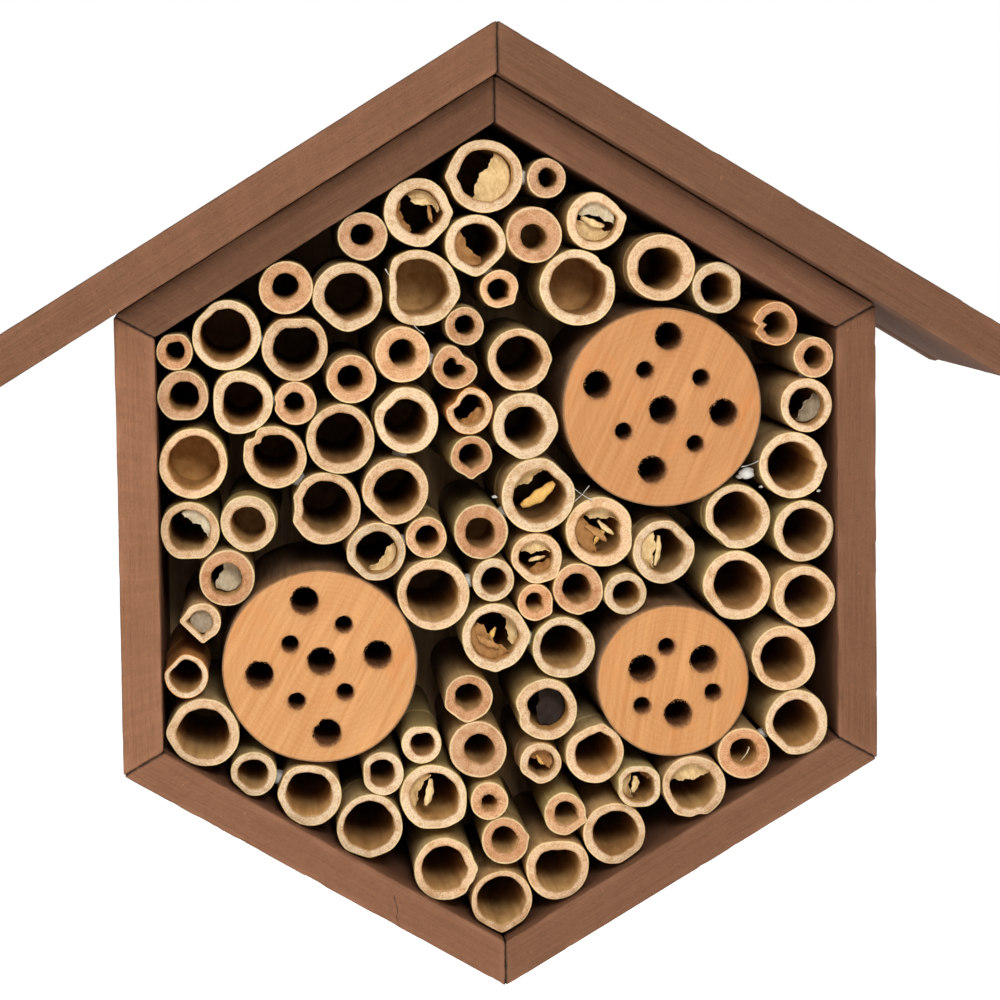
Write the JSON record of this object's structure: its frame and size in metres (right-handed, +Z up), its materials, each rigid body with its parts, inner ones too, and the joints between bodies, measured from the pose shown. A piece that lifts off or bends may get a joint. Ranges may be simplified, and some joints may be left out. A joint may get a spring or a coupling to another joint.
{
  "type": "insect hotel",
  "caption": "Wall-hung insect hotel: a six-sided wooden box under a pitched two-board roof, packed with hollow canes and drilled log slices.",
  "frame": {"origin": "on the rear face of the back panel, in the middle of the box's width and level with the middle of its upright sides", "axes": "+X to the right seen from the front, +Z up, the open front faces -Y, and +Y points into the wall"},
  "size_m": [0.3024, 0.115, 0.2795],
  "materials": {
    "stained_wood": "matte brown stain on sawn softwood",
    "back_wood": "matte brown stain on thin board",
    "log_wood": "sawn end grain, unfinished",
    "cane": "natural bamboo and reed, unfinished",
    "glue": "hot glue",
    "steel": "zinc plated"
  },
  "bodies": {
    "root": {"frame_left": "stained_wood", "frame_right": "stained_wood", "frame_lower_left": "stained_wood", "frame_lower_right": "stained_wood", "frame_upper_left": "stained_wood", "frame_upper_right": "stained_wood", "roof_board_left": "stained_wood", "roof_board_right": "stained_wood", "back_panel": "back_wood", "keyhole_plate": "steel", "plate_screw_upper": "steel", "plate_screw_lower": "steel", "log_upper_right": "log_wood", "log_lower_left": "log_wood", "log_lower_right": "log_wood", "cane_pair_01_02": "cane", "cane_pair_03_04": "cane", "cane_pair_05_13": "cane", "cane_pair_06_14": "cane", "cane_pair_08_09": "cane", "cane_pair_10_11": "cane", "cane_pair_12_19": "cane", "cane_pair_16_24": "cane", "cane_pair_17_18": "cane", "cane_pair_20_21": "cane", "cane_pair_22_31": "cane", "cane_pair_23_26": "cane", "cane_pair_25_32": "cane", "cane_pair_27_28": "cane", "cane_pair_29_35": "cane", "cane_pair_30_36": "cane", "cane_pair_33_40": "cane", "cane_pair_34_42": "cane", "cane_pair_37_41": "cane", "cane_pair_38_45": "cane", "cane_pair_39_55": "cane", "cane_pair_43_50": "cane", "cane_pair_44_49": "cane", "cane_pair_46_47": "cane", "cane_pair_48_57": "cane", "cane_pair_51_52": "cane", "cane_pair_53_54": "cane", "cane_pair_56_61": "cane", "cane_pair_59_60": "cane", "cane_pair_62_65": "cane", "cane_pair_63_68": "cane", "cane_pair_64_71": "cane", "cane_pair_66_70": "cane", "cane_pair_67_77": "cane", "cane_pair_72_80": "cane", "cane_pair_73_74": "cane", "cane_pair_75_76": "cane", "cane_pair_78_81": "cane", "cane_pair_79_82": "cane", "cane_pair_83_85": "cane", "cane_07": "cane", "cane_15": "cane", "cane_58": "cane", "cane_69": "cane", "cane_84": "cane"}
  },
  "joints": []
}
